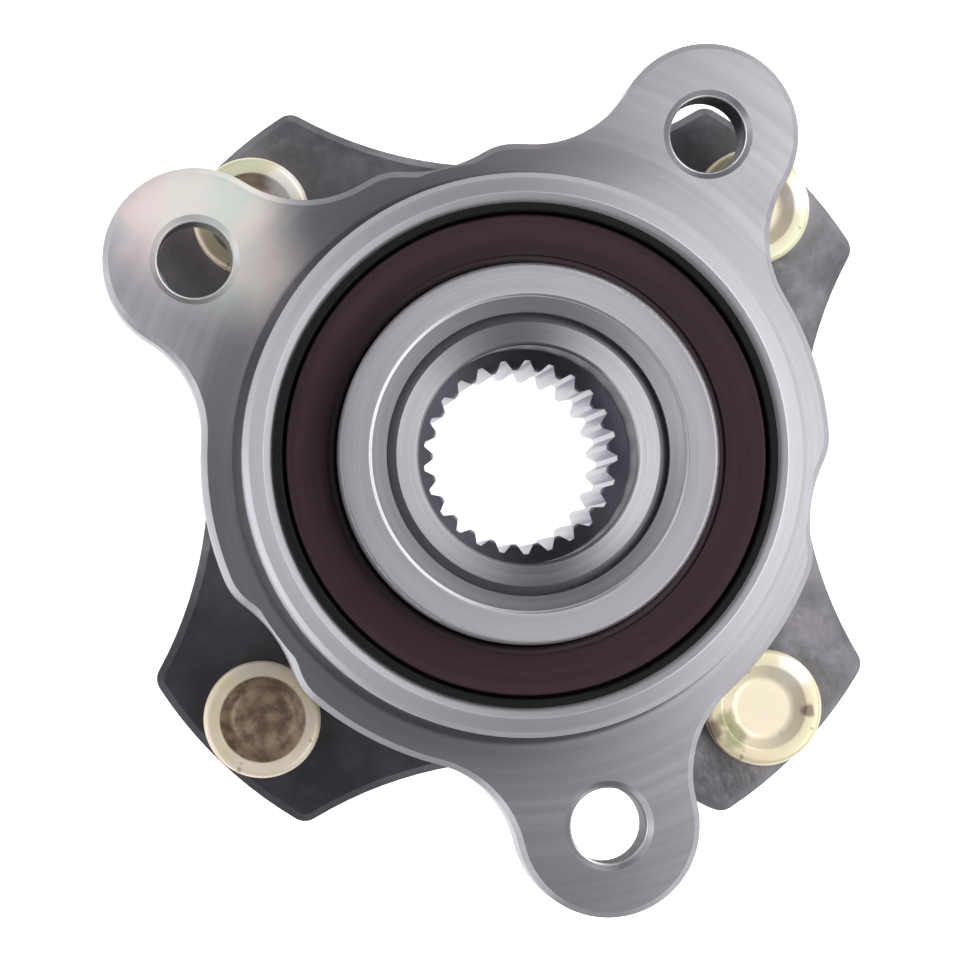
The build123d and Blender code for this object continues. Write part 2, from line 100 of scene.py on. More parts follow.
# How finely the studs are drawn, and the small face that closes each at both ends
STUD_SIDES = 72
STUD_RINGS_PER_PITCH = 8
FILLET_STEPS = 5
STUD_CAP_R = 0.4 * MM
SHARP_ANGLE = math.radians(38)


def mm(*lengths):
    """Metres from millimetres."""
    return tuple(length * MM for length in lengths)


# Where one look fades into another, as the two ends of the fade
RING_MOUTH_EDGE_R = mm(21.0, 21.5)
RING_FACE_EDGE_Z = mm(20.7, 20.9)
SPIGOT_START_Z = mm(1.6, 2.0)
BORE_MOUTH_R = mm(35.2, 35.5)
BORE_MOUTH_Z = mm(15.0, 15.3)
ROOT_R = mm(39.0, 39.8)
ROOT_TOP_Z = mm(1.0, 2.0)
ROOT_BOTTOM_Z = mm(-0.5, -0.2)
EAR_CHAMFER_Z = mm(-1.1, -0.9)
EAR_FILM_R = mm(10.0, 18.0)
EAR_FILM_UP = mm(-9.0, 3.0)
SHADE_TOP = mm(30.0, 40.0)
SHADE_TOP_R = mm(42.0, 50.0)
SHADE_BOTTOM = mm(42.0, 70.0)
HUB_TURNED_R = mm(29.6, 30.2)
HUB_WHEEL_SIDE_Z = mm(-29.8, -29.4)
HUB_SHADE_SPAN = mm(25.0, 55.0)
BORE_WALL_R = mm(14.6, 14.9)
TOOTH_END_Z = mm(4.4, 5.0)
STUD_HEAD_Z = mm(2.4, 2.7)
STUD_DISH_EDGE_R = mm(5.9, 6.2)
PATCH_RAGGEDNESS = 1.6 * MM
SECOND_NOISE = (0.37, 0.11, 0.73)  # how far off the second noise of the zinc's tints is read

# Streaks per metre round the axis, and heights of reliefs
RING_MARKS, RING_BANDS = 9000.0, 750.0
TURNED_MARKS, TURNED_BANDS = 7000.0, 500.0
SHEET_MARKS, ENCODER_BANDS = 4000.0, 500.0
MARK_RELIEF = 0.02 * MM
GRAIN_RELIEF = 0.03 * MM
FILM_RELIEF = 0.04 * MM
FORGED_RELIEF = 0.1 * MM
MOUTH_EDGE_RELIEF = 0.18 * MM
EAR_THREAD_RELIEF = 0.5 * MM

# Colours, as (dark, light) pairs where noise drifts between two
RING_GREYS = (0.32, 0.31, 0.325, 1), (0.39, 0.38, 0.395, 1)
RING_BLOTCH = (0.28, 0.26, 0.29, 1)
# Painted highlight on the inner ring's rounded mouth edge
RING_EDGE_PAINTED_HIGHLIGHT = (0.70, 0.69, 0.70, 1)
# The plate's greys are darker than the spigot's, partly a duller face and partly painted shade from the
# spigot
SHADED_PLATE_GREYS = (0.36, 0.35, 0.375, 1), (0.44, 0.43, 0.455, 1)
PLATE_STAIN = (0.26, 0.24, 0.27, 1)
# Painted shade on the plate beside the spigot at the top and at the bottom ear
PLATE_PAINTED_SHADE = (0.16, 0.145, 0.16, 1)
SPIGOT_GREYS = (0.44, 0.43, 0.46, 1), (0.52, 0.51, 0.54, 1)
# Painted highlight on the spigot's bore chamfer and the ear holes' chamfers
PAINTED_CHAMFER_HIGHLIGHT = (0.80, 0.79, 0.82, 1)
# Painted shade in the threaded walls of the ear holes
THREAD_PAINTED_SHADE = (0.06, 0.055, 0.065, 1)
# Painted shade in the root between plate and spigot
ROOT_PAINTED_SHADE = (0.07, 0.065, 0.08, 1)
FORGED_GREYS = (0.13, 0.124, 0.132, 1), (0.25, 0.238, 0.257, 1)
FORGED_LUMP = (0.27, 0.262, 0.28, 1)
# Painted shade on the hub towards the lower left
HUB_PAINTED_SHADE = (0.030, 0.030, 0.038, 1)
TURNED_GREYS = (0.37, 0.36, 0.38, 1), (0.48, 0.47, 0.50, 1)
# Painted light on the deep tooth flanks, painted shade on the bore wall near the mouth
TOOTH_FLANKS_PAINTED_LIGHT, TOOTH_ENDS_PAINTED_SHADE = (0.86, 0.85, 0.90, 1), (0.12, 0.112, 0.14, 1)
ENCODER_BROWNS = (0.016, 0.0065, 0.0085, 1), (0.030, 0.013, 0.016, 1)
ENCODER_GRAIN = (0.050, 0.026, 0.030, 1)
LIP_BLACKS = (0.003, 0.003, 0.0035, 1), (0.009, 0.008, 0.009, 1)
CAGE_BUFFS = (0.42, 0.34, 0.20, 1), (0.60, 0.52, 0.36, 1)
BALL_GREYS = (0.66, 0.66, 0.68, 1), (0.76, 0.76, 0.78, 1)
SHEET_GREYS = (0.045, 0.032, 0.035, 1), (0.085, 0.065, 0.07, 1)
FLOOR_WHITES = (0.88, 0.88, 0.88, 1), (0.92, 0.92, 0.92, 1)
ZINC_YELLOW = (0.74, 0.65, 0.44, 1)
# Painted light in the studs' dishes, against the shade of their walls
DISH_PAINTED_LIGHT = (0.95, 0.87, 0.70, 1)
ZINC_SPOT = (0.20, 0.12, 0.07, 1)
# Browns in the dishes, partly soil and partly painted shade
DISH_SOIL_AND_SHADE_BROWNS = (0.10, 0.055, 0.035, 1), (0.30, 0.21, 0.13, 1)
# The last of these, a near white, is a painted highlight on the studs' heads
BROWN, GREEN, PAINTED_HIGHLIGHT_WHITE = (0.13, 0.08, 0.05, 1), (0.24, 0.26, 0.13, 1), (0.95, 0.93, 0.89, 1)

GREEN_TINT, PINK_TINT = (0.66, 0.66, 0.46, 1), (0.80, 0.63, 0.52, 1)

# The studs' films: name, browns in the dish from 0 to 1 (partly soil, partly painted shade), green tint, pink
# tint, and patches on the head, each (right, up, size, colour) in millimetres from the stud's axis along the
# picture
STUD_FILMS = (
    (
        "stud_zinc_clean_1", 0.15, GREEN_TINT, PINK_TINT,
        ((1.0, -6.4, 1.3, BROWN), (-2.0, 5.5, 2.0, GREEN), (6.8, 2.0, 3.4, PAINTED_HIGHLIGHT_WHITE)),
    ),
    ("stud_zinc_soiled_shaded_2", 0.8, GREEN_TINT, PINK_TINT, ((5.2, 4.6, 4.0, PAINTED_HIGHLIGHT_WHITE),)),
    ("stud_zinc_soiled_shaded_3", 0.95, (0.72, 0.64, 0.52, 1), (0.80, 0.67, 0.60, 1), ()),
    (
        "stud_zinc_clean_4", 0.1, (0.70, 0.66, 0.44, 1), (0.76, 0.63, 0.46, 1),
        (
            (4.6, 5.6, 3.6, PAINTED_HIGHLIGHT_WHITE), (6.2, -0.4, 1.3, BROWN), (-7.2, -3.2, 2.0, BROWN),
            (-4.2, -4.0, 2.4, GREEN), (-5.3, -1.7, 2.0, GREEN),
        ),
    ),
)

# The film on the second ear, a real tint made pale as a painted highlight: how far its bands wander, their
# width together, the share of it that lies outside the hole's axis, and their colours from the ear's outer
# side to the ring
TINT_WANDER = 16.0 * MM
TINT_WIDTH = 28.0 * MM
TINT_AT_HOLE = 0.43
TINT_HIGHLIGHT_BANDS = (
    (0.00, (0.62, 0.62, 0.62, 1)),
    (0.13, (0.86, 0.70, 0.69, 1)),
    (0.38, (0.84, 0.79, 0.73, 1)),
    (0.56, (0.72, 0.80, 0.73, 1)),
    (0.72, (0.90, 0.83, 0.76, 1)),
    (0.84, (0.84, 0.76, 0.72, 1)),
    (1.00, (0.66, 0.66, 0.66, 1)),
)


# ---------------------------------------------------------------- places


def picture_direction(right, up, towards=0.0):
    """Direction in the part's frame of one in the picture: right, up, and towards the camera along Z."""
    flat = Matrix.Rotation(-IMAGE_TURN, 3, "Z") @ Vector((right, up, 0))
    return Vector((flat.x, flat.y, towards))


def ear_centre(ear):
    """Axis point of the hole in the ear at an angle about Z."""
    return (EAR_CIRCLE_R * math.cos(ear), EAR_CIRCLE_R * math.sin(ear), 0.0)


# ---------------------------------------------------------------- node materials


class Shader:
    """A procedural node material, or the world's, under construction."""

    def __init__(self, name, kind="materials"):
        self.owner = getattr(bpy.data, kind).new(name)
        self.owner.use_nodes = True
        self.tree = self.owner.node_tree
        self.tree.nodes.clear()

    def node(self, kind, **settings):
        made = self.tree.nodes.new(kind)
        for key, value in settings.items():
            setattr(made, key, value)
        return made

    def feed(self, socket, value):
        """Link a socket to another node's output, or set it to a constant."""
        if isinstance(value, bpy.types.NodeSocket):
            self.tree.links.new(value, socket)
        else:
            socket.default_value = value

    def math(self, operation, first, second=0.0, third=0.0, clamp=False):
        made = self.node("ShaderNodeMath", operation=operation, use_clamp=clamp)
        for socket, value in zip(made.inputs, (first, second, third)):
            self.feed(socket, value)
        return made.outputs[0]

    def vector(self, operation, first, second=(0, 0, 0), output=0):
        made = self.node("ShaderNodeVectorMath", operation=operation)
        self.feed(made.inputs[0], first)
        self.feed(made.inputs[1], second)
        return made.outputs[output]

    def mix(self, factor, first, second):
        made = self.node("ShaderNodeMix", data_type="RGBA")
        self.feed(made.inputs["Factor"], factor)
        self.feed(made.inputs["A"], first)
        self.feed(made.inputs["B"], second)
        return made.outputs["Result"]

    def blend(self, factor, first, second):
        """Mix of two numbers."""
        made = self.node("ShaderNodeMix", data_type="FLOAT")
        self.feed(made.inputs["Factor"], factor)
        self.feed(made.inputs["A"], first)
        self.feed(made.inputs["B"], second)
        return made.outputs["Result"]

    def step(self, value, low, high):
        """0 below low, 1 above high, smooth between."""
        made = self.node("ShaderNodeMapRange", interpolation_type="SMOOTHSTEP")
        for socket, given in zip(made.inputs, (value, low, high, 0.0, 1.0)):
            self.feed(socket, given)
        return made.outputs[0]

    def ramp(self, value, stops):
        """Colour by a value between 0 and 1. stops are (place, colour) pairs in order."""
        made = self.node("ShaderNodeValToRGB")
        elements = made.color_ramp.elements
        for element, (place, color) in zip(elements, (stops[0], stops[-1])):
            element.position, element.color = place, color
        for place, color in stops[1:-1]:
            elements.new(place).color = color
        self.feed(made.inputs[0], value)
        return made.outputs[0]

    def times(self, first, second):
        return self.math("MULTIPLY", first, second)

    def inverse(self, share):
        return self.math("SUBTRACT", 1.0, share)

    def below(self, value, low, high):
        """1 below low, 0 above high, smooth between."""
        return self.inverse(self.step(value, low, high))

    def spread(self, value, width, base):
        """base plus width times a value."""
        return self.math("MULTIPLY_ADD", value, width, base)

    def length(self, vector):
        return self.vector("LENGTH", vector, output=1)

    def along(self, position, direction):
        """Distance of a point along a unit direction."""
        return self.vector("DOT_PRODUCT", position, direction, output=1)

    def position(self):
        return self.node("ShaderNodeTexCoord").outputs["Object"]

    def cylinder_coordinates(self, position):
        """Radius, height and angle of a point about Z."""
        parts = self.node("ShaderNodeSeparateXYZ")
        self.feed(parts.inputs[0], position)
        x, y, z = parts.outputs
        squares = self.math("ADD", self.times(x, x), self.times(y, y))
        radius = self.math("SQRT", squares)
        return radius, z, self.math("ARCTAN2", y, x)

    def noise(self, vector, scale, detail=3.0, roughness=0.5):
        made = self.node("ShaderNodeTexNoise")
        self.feed(made.inputs["Vector"], vector)
        made.inputs["Scale"].default_value = scale
        made.inputs["Detail"].default_value = detail
        made.inputs["Roughness"].default_value = roughness
        return made.outputs[0]

    def combine(self, x, y, z):
        made = self.node("ShaderNodeCombineXYZ")
        for socket, value in zip(made.inputs, (x, y, z)):
            self.feed(socket, value)
        return made.outputs[0]

    def turning_marks(self, radius, z, angle, per_metre):
        """Streaks round the axis: noise that changes fast with radius and height, slowly with angle."""
        fast = self.combine(
            self.times(radius, per_metre),
            self.times(z, per_metre),
            self.times(self.math("SINE", angle), 0.6),
        )
        return self.noise(fast, 1.0, detail=4.0, roughness=0.65)

    def lay_across(self, position):
        """World direction across marks that run round Z, along which highlights stretch."""
        normal = self.node("ShaderNodeNewGeometry").outputs["Normal"]
        return self.vector("CROSS_PRODUCT", normal, self.lay_around(position))

    def lay_around(self, position):
        """World direction round Z, across marks that run outwards from it."""
        around = self.vector("CROSS_PRODUCT", (0, 0, 1), position)
        turned = self.node(
            "ShaderNodeVectorTransform", vector_type="VECTOR", convert_from="OBJECT", convert_to="WORLD"
        )
        self.feed(turned.inputs[0], around)
        return turned.outputs[0]

    def bump(self, height, strength, distance, normal=None):
        made = self.node("ShaderNodeBump")
        made.inputs["Strength"].default_value = strength
        made.inputs["Distance"].default_value = distance
        self.feed(made.inputs["Height"], height)
        if normal is not None:
            self.feed(made.inputs["Normal"], normal)
        return made.outputs[0]

    def finish(self, color, roughness, metallic, normal=None, **constants):
        """Principled surface. constants are set directly on its sockets."""
        surface = self.node("ShaderNodeBsdfPrincipled")
        self.feed(surface.inputs["Base Color"], color)
        self.feed(surface.inputs["Roughness"], roughness)
        self.feed(surface.inputs["Metallic"], metallic)
        if normal is not None:
            self.feed(surface.inputs["Normal"], normal)
        for key, value in constants.items():
            name = key.replace("_", " ").title().replace("Ior", "IOR")
            self.feed(surface.inputs[name], value)
        output = self.node("ShaderNodeOutputMaterial")
        self.tree.links.new(surface.outputs[0], output.inputs[0])
        return self.owner


def inner_ring_steel():
    """Ground bearing steel: a soft even gloss, faint marks round the axis, a rounded edge at the mouth and a
    painted highlight along that edge.
    """
    s = Shader("inner_ring_ground")
    position = s.position()
    radius, z, angle = s.cylinder_coordinates(position)
    marks = s.turning_marks(radius, z, angle, RING_MARKS)
    broad = s.turning_marks(radius, z, angle, RING_BANDS)
    blotches = s.noise(position, 90.0, detail=5.0)
    color = s.mix(s.step(broad, 0.3, 0.75), *RING_GREYS)
    color = s.mix(s.times(s.step(blotches, 0.45, 0.8), 0.2), color, RING_BLOTCH)
    edge = s.times(s.step(radius, *RING_MOUTH_EDGE_R), s.step(z, *RING_FACE_EDGE_Z))
    mouth_highlight_band = s.times(s.times(edge, s.inverse(edge)), 4.0)
    # Painted highlight: a pale grey is mixed into the middle of the rounded mouth edge
    color = s.mix(s.times(mouth_highlight_band, 0.4), color, RING_EDGE_PAINTED_HIGHLIGHT)
    rough = s.spread(mouth_highlight_band, -0.22, s.spread(marks, 0.14, 0.50))
    normal = s.bump(marks, 0.10, MARK_RELIEF, s.bump(edge, 1.0, MOUTH_EDGE_RELIEF))
    return s.finish(color, rough, 1.0, normal, anisotropic=0.2, tangent=s.lay_around(position))


def ear_thread_height(s, position):
    """Helical thread ridges on the walls of the three ear holes, and 0 elsewhere."""
    total = 0.0
    for ear in EAR_ANGLES:
        radius, z, angle = s.cylinder_coordinates(s.vector("SUBTRACT", position, ear_centre(ear)))
        pitches = s.math("DIVIDE", z, EAR_THREAD_PITCH)
        turns = s.math("SUBTRACT", pitches, s.math("DIVIDE", angle, 2 * math.pi))
        ridge = s.math("PINGPONG", turns, 0.5)
        near = s.below(radius, EAR_THREAD_R + 0.1 * MM, EAR_THREAD_R + 0.3 * MM)
        total = s.math("ADD", total, s.times(ridge, near))
    return total


def ear_tint_and_highlight(s, position):
    """Pale rainbow film on the second ear, partly a real tint and partly a painted highlight: its colour, and
    its share, which fades towards the lower side.
    """
    from_ear = s.vector("SUBTRACT", position, ear_centre(EAR_ANGLES[1]))
    wander = s.spread(s.noise(position, 170.0, detail=4.0), TINT_WANDER, -TINT_WANDER / 2)
    across = s.math("ADD", s.along(from_ear, picture_direction(1, 0)), wander)
    place = s.spread(across, 1.0 / TINT_WIDTH, TINT_AT_HOLE)
    film = s.ramp(place, TINT_HIGHLIGHT_BANDS)
    near = s.below(s.length(from_ear), *EAR_FILM_R)
    upper = s.step(s.along(from_ear, picture_direction(0.5, 0.87)), *EAR_FILM_UP)
    return film, s.times(s.times(near, upper), 0.9)


def bore_mouth(s, radius, z):
    """1 on the machined chamfer at the spigot's bore, where a highlight is painted."""
    return s.times(s.below(radius, *BORE_MOUTH_R), s.step(z, *BORE_MOUTH_Z))


def ear_hole_shares(s, position):
    """1 on the chamfers of the three ear holes, and 1 on their threaded walls."""
    beside = inside = 0.0
    for ear in EAR_ANGLES:
        radius, z, angle = s.cylinder_coordinates(s.vector("SUBTRACT", position, ear_centre(ear)))
        beside = s.math("ADD", beside, s.math("LESS_THAN", radius, EAR_THREAD_R + 1.0 * MM))
        inside = s.math("ADD", inside, s.math("LESS_THAN", radius, EAR_THREAD_R + 0.1 * MM))
    edges = s.times(beside, s.step(z, *EAR_CHAMFER_Z))
    return edges, s.math("SUBTRACT", inside, s.times(inside, edges), clamp=True)


def plate_shade_share(s, position, radius, z):
    """1 where shade is painted on the plate: beside the spigot at the top, and at the end of the bottom ear.
    """
    top = s.step(s.along(position, picture_direction(-0.2, 0.98)), *SHADE_TOP)
    top = s.times(top, s.below(radius, *SHADE_TOP_R))
    bottom = s.step(s.along(position, picture_direction(-0.35, -0.94)), *SHADE_BOTTOM)
    on_plate = s.math("LESS_THAN", z, 1.0 * MM)
    return s.times(s.math("MAXIMUM", top, bottom), on_plate)


def outer_ring_steel():
    """Turned ring steel: bright spigot, plate greyer partly by painted shade, painted shade in the root, on
    the plate and in the threaded ear holes, painted highlights on the chamfers, and tints with a painted
    highlight on one ear.
    """
    s = Shader("outer_ring_turned")
    position = s.position()
    radius, z, angle = s.cylinder_coordinates(position)
    marks = s.turning_marks(radius, z, angle, TURNED_MARKS)
    broad = s.turning_marks(radius, z, angle, TURNED_BANDS)
    stains = s.noise(position, 55.0, detail=6.0, roughness=0.6)
    spigot = s.step(z, *SPIGOT_START_Z)
    # Partly painted shade: the plate takes darker greys than the spigot of the same steel
    plate_color = s.mix(s.step(broad, 0.3, 0.75), *SHADED_PLATE_GREYS)
    plate_color = s.mix(s.times(s.step(stains, 0.5, 0.75), 0.25), plate_color, PLATE_STAIN)
    spigot_color = s.mix(s.step(broad, 0.3, 0.75), *SPIGOT_GREYS)
    # Partly painted highlight: the pale tints on the second ear's upper side
    tint_highlight_color, tint_highlight_share = ear_tint_and_highlight(s, position)
    color = s.mix(tint_highlight_share, plate_color, tint_highlight_color)
    color = s.mix(spigot, color, spigot_color)
    # Painted shade on the plate beside the spigot at the top and at the bottom ear
    color = s.mix(s.times(plate_shade_share(s, position, radius, z), 0.55), color, PLATE_PAINTED_SHADE)
    hole_edges, hole_walls = ear_hole_shares(s, position)
    # Painted highlight: the bore chamfer, and faintly the ear-hole chamfers, are lightened towards a pale
    # grey
    chamfer_highlight_share = s.math("MAXIMUM", bore_mouth(s, radius, z), s.times(hole_edges, 0.35))
    color = s.mix(chamfer_highlight_share, color, PAINTED_CHAMFER_HIGHLIGHT)
    # Painted shade: the threaded walls of the ear holes are darkened
    color = s.mix(s.times(hole_walls, 0.8), color, THREAD_PAINTED_SHADE)
    # Painted shade: the concave root between plate and spigot is darkened, and its roughness raised
    root_shade = s.times(s.below(radius, *ROOT_R), s.below(z, *ROOT_TOP_Z))
    root_shade = s.times(root_shade, s.step(z, *ROOT_BOTTOM_Z))
    color = s.mix(s.times(root_shade, 0.75), color, ROOT_PAINTED_SHADE)
    rough = s.spread(marks, 0.16, s.spread(root_shade, 0.25, 0.32))
    matt = s.math("MAXIMUM", s.times(tint_highlight_share, 0.5), s.times(chamfer_highlight_share, 0.25))
    metallic = s.inverse(matt)
    fine = s.bump(marks, 0.15, MARK_RELIEF)
    normal = s.bump(ear_thread_height(s, position), 1.0, EAR_THREAD_RELIEF, fine)
    return s.finish(color, rough, metallic, normal, anisotropic=0.6, tangent=s.lay_across(position))


def hub_steel():
    """Forged and phosphated hub, turned bright on the spindle, bore, pilots and wheel face, with painted
    shade towards the lower left and painted light and shade in the splined bore.
    """
    s = Shader("hub_forged")
    position = s.position()
    radius, z, angle = s.cylinder_coordinates(position)
    turned = s.math("MAXIMUM", s.below(radius, *HUB_TURNED_R), s.below(z, *HUB_WHEEL_SIDE_Z))
    scale = s.noise(position, 900.0, detail=5.0, roughness=0.6)
    lumps = s.noise(position, 260.0, detail=3.0, roughness=0.55)
    patches = s.noise(position, 90.0, detail=4.0)
    forged = s.mix(s.step(patches, 0.35, 0.7), *FORGED_GREYS)
    forged = s.mix(s.times(s.step(lumps, 0.5, 0.75), 0.5), forged, FORGED_LUMP)
    # Painted shade: the forged hub darkens towards the lower left
    lower_left_shade = s.step(s.along(position, picture_direction(-0.71, -0.71)), *HUB_SHADE_SPAN)
    forged = s.mix(s.times(lower_left_shade, 0.85), forged, HUB_PAINTED_SHADE)
    marks = s.turning_marks(radius, z, angle, TURNED_MARKS)
    bright = s.mix(s.step(marks, 0.3, 0.7), *TURNED_GREYS)
    # Painted light and shade in the splined bore: light deep down, dark near the mouth
    bore_painted_light = s.mix(s.step(z, *TOOTH_END_Z), TOOTH_FLANKS_PAINTED_LIGHT, TOOTH_ENDS_PAINTED_SHADE)
    bright = s.mix(s.times(s.below(radius, *BORE_WALL_R), 0.85), bright, bore_painted_light)
    color = s.mix(turned, forged, bright)
    rough = s.blend(turned, s.spread(scale, 0.25, 0.34), s.spread(marks, 0.15, 0.28))
    metallic = s.blend(turned, 0.55, 1.0)
    height = s.blend(turned, s.spread(lumps, 3.0, scale), s.times(marks, 0.15))
    normal = s.bump(height, 0.6, FORGED_RELIEF)
    return s.finish(color, rough, metallic, normal, anisotropic=0.85, tangent=s.lay_across(position))


def encoder_rubber():
    """Magnetic rubber: nearly black brown, finely mottled, with a faint moulded sheen."""
    s = Shader("encoder_brown")
    position = s.position()
    radius, z, angle = s.cylinder_coordinates(position)
    grains = s.noise(position, 1500.0, detail=4.0)
    patches = s.turning_marks(radius, z, angle, ENCODER_BANDS)
    color = s.mix(s.step(patches, 0.3, 0.7), *ENCODER_BROWNS)
    color = s.mix(s.times(grains, 0.3), color, ENCODER_GRAIN)
    rough = s.spread(grains, 0.2, 0.50)
    return s.finish(color, rough, 0.0, s.bump(grains, 0.25, GRAIN_RELIEF), specular_ior_level=0.18)


def black_rubber():
    """Nitrile rubber of the seal lips."""
    s = Shader("seal_black")
    position = s.position()
    grains = s.noise(position, 1800.0, detail=3.0)
    color = s.mix(grains, *LIP_BLACKS)
    rough = s.spread(grains, 0.2, 0.5)
    return s.finish(color, rough, 0.0, s.bump(grains, 0.2, GRAIN_RELIEF), specular_ior_level=0.12)


def cage_plastic():
    """Glass-filled polyamide of the ball cages."""
    s = Shader("cage_polyamide")
    position = s.position()
    fibres = s.noise(position, 700.0, detail=5.0, roughness=0.7)
    color = s.mix(fibres, *CAGE_BUFFS)
    rough = s.spread(fibres, 0.2, 0.4)
    return s.finish(color, rough, 0.0, s.bump(fibres, 0.2, FILM_RELIEF), subsurface_weight=0.05)


def ball_steel():
    """Lapped bearing balls."""
    s = Shader("ball_polished")
    haze = s.noise(s.position(), 400.0, detail=3.0)
    color = s.mix(haze, *BALL_GREYS)
    return s.finish(color, s.spread(haze, 0.05, 0.05), 1.0)


def sheet_steel():
    """Pressed sheet of the seal case, slinger and seal core, dark and a little dull."""
    s = Shader("seal_sheet")
    position = s.position()
    radius, z, angle = s.cylinder_coordinates(position)
    marks = s.turning_marks(radius, z, angle, SHEET_MARKS)
    color = s.mix(marks, *SHEET_GREYS)
    rough = s.spread(marks, 0.2, 0.3)
    return s.finish(color, rough, 1.0, s.bump(marks, 0.15, MARK_RELIEF))


def yellow_zinc(name, dish_darkening, green, pink, patches):
    """Yellow chromated zinc: drifting green and pink tints, painted light in the dish, browns in the dish
    that are partly soil and partly painted shade, and patches on the head, the white ones painted highlights.
    """
    s = Shader(name)
    position = s.position()
    radius, z, angle = s.cylinder_coordinates(position)
    drift = s.noise(position, 160.0, detail=3.0)
    other = s.noise(s.vector("ADD", position, SECOND_NOISE), 120.0, detail=3.0)
    color = s.mix(s.step(drift, 0.42, 0.62), ZINC_YELLOW, green)
    color = s.mix(s.times(s.step(other, 0.45, 0.6), 0.7), color, pink)
    on_head = s.step(z, *STUD_HEAD_Z)
    in_dish = s.times(s.below(radius, *STUD_DISH_EDGE_R), on_head)
    mottle = s.noise(position, 450.0, detail=5.0, roughness=0.6)
    brown = s.mix(s.step(mottle, 0.35, 0.65), *DISH_SOIL_AND_SHADE_BROWNS)
    # Painted light: the dish is lightened so the shade of its wall shows less
    color = s.mix(s.times(in_dish, 0.6), color, DISH_PAINTED_LIGHT)
    # Partly soil and partly painted shade: the dish is browned, most on the studs at the left
    color = s.mix(s.times(in_dish, dish_darkening), color, brown)
    spots = s.step(s.noise(position, 300.0, detail=2.0), 0.68, 0.74)
    color = s.mix(s.times(spots, 0.7), color, ZINC_SPOT)
    flat = s.vector("MULTIPLY", position, (1, 1, 0))
    ragged = s.spread(s.noise(position, 700.0, detail=3.0), PATCH_RAGGEDNESS, -PATCH_RAGGEDNESS / 2)
    # Patches: brown and green spots, and near-white patches that are painted highlights on the heads
    for right, up, size, shade in patches:
        gap = s.length(s.vector("SUBTRACT", flat, picture_direction(right, up) * MM))
        share = s.below(s.math("ADD", gap, ragged), 0.4 * size * MM, size * MM)
        color = s.mix(s.times(s.times(share, on_head), 0.75), color, shade)
    rough = s.spread(mottle, 0.22, 0.34)
    return s.finish(color, rough, 0.3, s.bump(mottle, 0.2, FILM_RELIEF))


# ---------------------------------------------------------------- stage


def make_camera():
    """Camera at the picture's place, aimed so that the origin falls on AXIS_PIXEL."""
    back = picture_direction(-CAMERA_SLOPE_LEFT, -CAMERA_SLOPE_DOWN, 1.0).normalized()
    right = picture_direction(0, 1).cross(back).normalized()
    up = back.cross(right)
    scale = CAMERA_DISTANCE / CAMERA_FOCAL_PIXELS
    shift_right = (AXIS_PIXEL[0] - IMAGE_SIZE / 2) * scale
    shift_up = (IMAGE_SIZE / 2 - AXIS_PIXEL[1]) * scale
    camera = bpy.data.objects.new("camera", bpy.data.cameras.new("camera"))
    bpy.context.scene.collection.objects.link(camera)
    rotation = Matrix((right, up, back)).transposed()
    place = back * CAMERA_DISTANCE - right * shift_right - up * shift_up
    camera.matrix_world = Matrix.Translation(place) @ rotation.to_4x4()
    camera.data.sensor_width = SENSOR_WIDTH
    camera.data.lens = CAMERA_FOCAL_PIXELS * SENSOR_WIDTH / IMAGE_SIZE
    camera.data.clip_start = NEAREST_SEEN
    bpy.context.scene.camera = camera


def make_softbox(name, azimuth, elevation, distance, width, height, power):
    """Area light aimed at the part, level across. Its azimuth is anticlockwise from the picture's right."""
    turn, rise = math.radians(azimuth), math.radians(elevation)
    back = picture_direction(
        math.cos(turn) * math.cos(rise), math.sin(turn) * math.cos(rise), math.sin(rise)
    )
    across = Vector((0, 0, 1)).cross(back).normalized()
    light = bpy.data.objects.new(name, bpy.data.lights.new(name, "AREA"))
    bpy.context.scene.collection.objects.link(light)
    light.data.shape = "RECTANGLE"
    light.data.size = width
    light.data.size_y = height
    light.data.energy = power
    rotation = Matrix((across, back.cross(across), back)).transposed()
    light.matrix_world = Matrix.Translation(back * distance) @ rotation.to_4x4()


def make_world(above, left, right):
    """Surroundings of a light tent: dim above, at the top and at the bottom, bright to the left and right."""
    s = Shader("studio", "worlds")
    direction = s.node("ShaderNodeTexCoord").outputs["Generated"]
    aside = s.vector("DOT_PRODUCT", direction, picture_direction(1, 0), output=1)
    left_share = s.math("POWER", s.math("MAXIMUM", s.times(aside, -1.0), 0.0), WORLD_FALLOFF)
    right_share = s.math("POWER", s.math("MAXIMUM", aside, 0.0), WORLD_FALLOFF)
    strength = s.spread(left_share, left - above, above)
    strength = s.spread(right_share, right - above, strength)
    background = s.node("ShaderNodeBackground")
    background.inputs["Color"].default_value = WORLD_TINT
    s.feed(background.inputs["Strength"], strength)
    s.tree.links.new(background.outputs[0], s.node("ShaderNodeOutputWorld").inputs[0])
    bpy.context.scene.world = s.owner


def make_floor(lowest):
    """Pale floor that glows, like a light table, at the height of the stud tips."""
    mesh = bpy.data.meshes.new("floor")
    half = FLOOR_HALF_WIDTH
    corners = [(-half, -half, lowest), (half, -half, lowest), (half, half, lowest), (-half, half, lowest)]
    mesh.from_pydata(corners, [], [(0, 1, 2, 3)])
    floor = bpy.data.objects.new("floor", mesh)
    bpy.context.scene.collection.objects.link(floor)
    s = Shader("floor_pale")
    cloud = s.noise(s.position(), 3.0, detail=2.0)
    color = s.mix(cloud, *FLOOR_WHITES)
    glow = {"emission_color": (1, 1, 1, 1), "emission_strength": FLOOR_GLOW}
    mesh.materials.append(s.finish(color, 0.9, 0.0, **glow))


# ---------------------------------------------------------------- pieces


def assign(material, *nodes):
    """Give CAD nodes a material."""
    for node in nodes:
        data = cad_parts[node].data
        data.materials.clear()
        data.materials.append(material)


